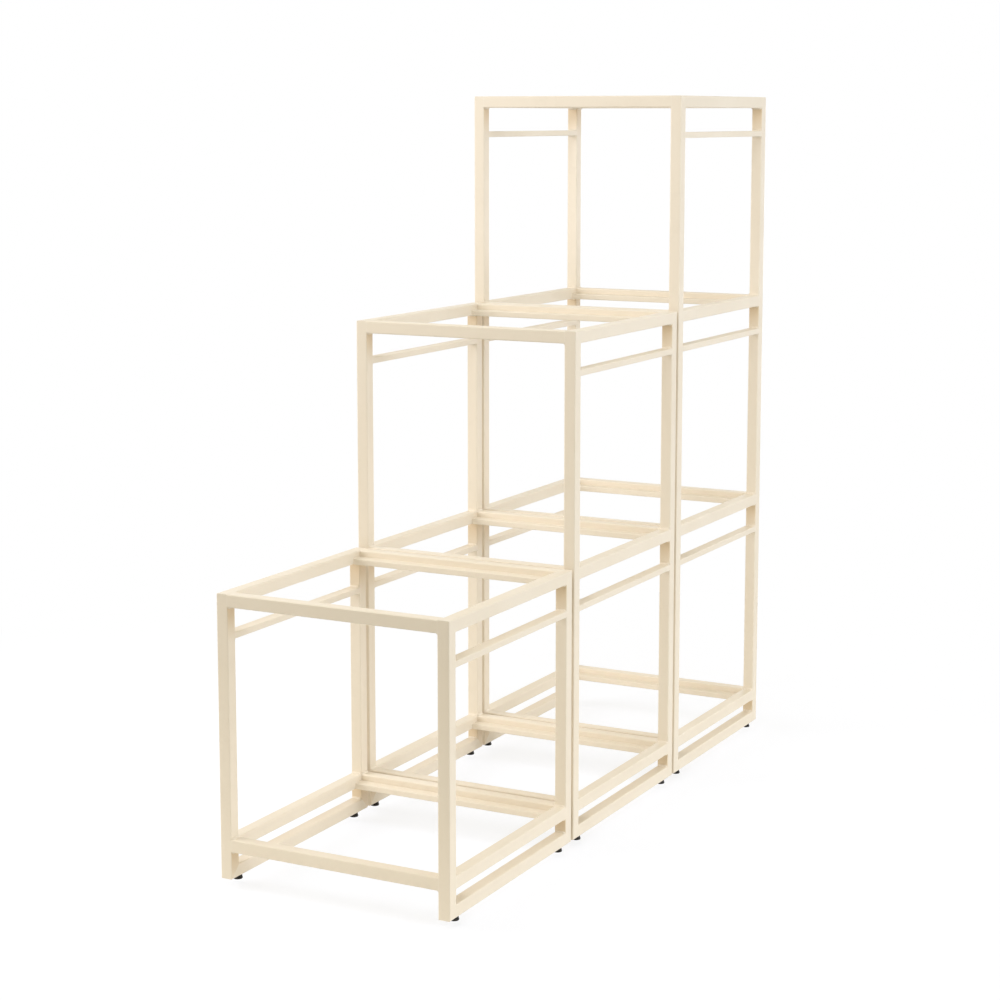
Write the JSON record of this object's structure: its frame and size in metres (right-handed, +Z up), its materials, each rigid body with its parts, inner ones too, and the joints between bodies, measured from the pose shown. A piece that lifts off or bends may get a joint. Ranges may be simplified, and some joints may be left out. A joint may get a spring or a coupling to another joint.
{
  "type": "tiered display riser",
  "caption": "Free-standing welded tube frames of rising height, set one behind the other as stairs, with shelf ledges, side bars and levelling feet.",
  "frame": {"origin": "on the floor, under the middle of the set's bounding box", "axes": "+X to the right as seen from the low frame, +Y from the low frame to the tall one, +Z up"},
  "size_m": [0.4, 1.216, 1.196],
  "materials": {
    "frame_paint": "cream satin powder coat on steel tube",
    "insert_steel": "zinc-plated steel",
    "foot_black": "black moulded nylon pad on a zinc-plated stud"
  },
  "bodies": {
    "low_frame": {"low_left_runner": "frame_paint", "low_front_left_post": "frame_paint", "low_rear_left_post": "frame_paint", "low_right_runner": "frame_paint", "low_front_right_post": "frame_paint", "low_rear_right_post": "frame_paint", "low_base_side_rails": "frame_paint", "low_base_cross_rails": "frame_paint", "low_tier1_side_rails": "frame_paint", "low_tier1_cross_rails": "frame_paint", "low_tier1_side_bars": "frame_paint", "low_shelf_ledges": "frame_paint", "low_foot_inserts": "insert_steel"},
    "low_front_left_foot": {"low_front_left_foot": "foot_black"},
    "low_rear_left_foot": {"low_rear_left_foot": "foot_black"},
    "low_front_right_foot": {"low_front_right_foot": "foot_black"},
    "low_rear_right_foot": {"low_rear_right_foot": "foot_black"},
    "middle_frame": {"middle_left_runner": "frame_paint", "middle_front_left_post": "frame_paint", "middle_rear_left_post": "frame_paint", "middle_right_runner": "frame_paint", "middle_front_right_post": "frame_paint", "middle_rear_right_post": "frame_paint", "middle_base_side_rails": "frame_paint", "middle_base_cross_rails": "frame_paint", "middle_tier1_side_rails": "frame_paint", "middle_tier1_cross_rails": "frame_paint", "middle_tier1_side_bars": "frame_paint", "middle_tier2_side_rails": "frame_paint", "middle_tier2_cross_rails": "frame_paint", "middle_tier2_side_bars": "frame_paint", "middle_shelf_ledges": "frame_paint", "middle_foot_inserts": "insert_steel"},
    "middle_front_left_foot": {"middle_front_left_foot": "foot_black"},
    "middle_rear_left_foot": {"middle_rear_left_foot": "foot_black"},
    "middle_front_right_foot": {"middle_front_right_foot": "foot_black"},
    "middle_rear_right_foot": {"middle_rear_right_foot": "foot_black"},
    "tall_frame": {"tall_left_runner": "frame_paint", "tall_front_left_post": "frame_paint", "tall_rear_left_post": "frame_paint", "tall_right_runner": "frame_paint", "tall_front_right_post": "frame_paint", "tall_rear_right_post": "frame_paint", "tall_base_side_rails": "frame_paint", "tall_base_cross_rails": "frame_paint", "tall_tier1_side_rails": "frame_paint", "tall_tier1_cross_rails": "frame_paint", "tall_tier1_side_bars": "frame_paint", "tall_tier2_side_rails": "frame_paint", "tall_tier2_cross_rails": "frame_paint", "tall_tier2_side_bars": "frame_paint", "tall_tier3_side_rails": "frame_paint", "tall_tier3_cross_rails": "frame_paint", "tall_tier3_side_bars": "frame_paint", "tall_shelf_ledges": "frame_paint", "tall_foot_inserts": "insert_steel"},
    "tall_front_left_foot": {"tall_front_left_foot": "foot_black"},
    "tall_rear_left_foot": {"tall_rear_left_foot": "foot_black"},
    "tall_front_right_foot": {"tall_front_right_foot": "foot_black"},
    "tall_rear_right_foot": {"tall_rear_right_foot": "foot_black"}
  },
  "joints": [
    {"name": "middle_frame_pull", "type": "slide", "parent": "tall_frame", "child": "middle_frame", "axis": [0, -1, 0], "range_m": [0, 0.15]},
    {"name": "low_frame_pull", "type": "slide", "parent": "middle_frame", "child": "low_frame", "axis": [0, -1, 0], "range_m": [0, 0.15]},
    {"name": "low_front_left_foot_screw", "type": "slide", "parent": "low_frame", "child": "low_front_left_foot", "axis": [0, 0, -1], "range_m": [0, 0.008]},
    {"name": "low_rear_left_foot_screw", "type": "slide", "parent": "low_frame", "child": "low_rear_left_foot", "axis": [0, 0, -1], "range_m": [0, 0.008]},
    {"name": "low_front_right_foot_screw", "type": "slide", "parent": "low_frame", "child": "low_front_right_foot", "axis": [0, 0, -1], "range_m": [0, 0.008]},
    {"name": "low_rear_right_foot_screw", "type": "slide", "parent": "low_frame", "child": "low_rear_right_foot", "axis": [0, 0, -1], "range_m": [0, 0.008]},
    {"name": "middle_front_left_foot_screw", "type": "slide", "parent": "middle_frame", "child": "middle_front_left_foot", "axis": [0, 0, -1], "range_m": [0, 0.008]},
    {"name": "middle_rear_left_foot_screw", "type": "slide", "parent": "middle_frame", "child": "middle_rear_left_foot", "axis": [0, 0, -1], "range_m": [0, 0.008]},
    {"name": "middle_front_right_foot_screw", "type": "slide", "parent": "middle_frame", "child": "middle_front_right_foot", "axis": [0, 0, -1], "range_m": [0, 0.008]},
    {"name": "middle_rear_right_foot_screw", "type": "slide", "parent": "middle_frame", "child": "middle_rear_right_foot", "axis": [0, 0, -1], "range_m": [0, 0.008]},
    {"name": "tall_front_left_foot_screw", "type": "slide", "parent": "tall_frame", "child": "tall_front_left_foot", "axis": [0, 0, -1], "range_m": [0, 0.008]},
    {"name": "tall_rear_left_foot_screw", "type": "slide", "parent": "tall_frame", "child": "tall_rear_left_foot", "axis": [0, 0, -1], "range_m": [0, 0.008]},
    {"name": "tall_front_right_foot_screw", "type": "slide", "parent": "tall_frame", "child": "tall_front_right_foot", "axis": [0, 0, -1], "range_m": [0, 0.008]},
    {"name": "tall_rear_right_foot_screw", "type": "slide", "parent": "tall_frame", "child": "tall_rear_right_foot", "axis": [0, 0, -1], "range_m": [0, 0.008]}
  ]
}
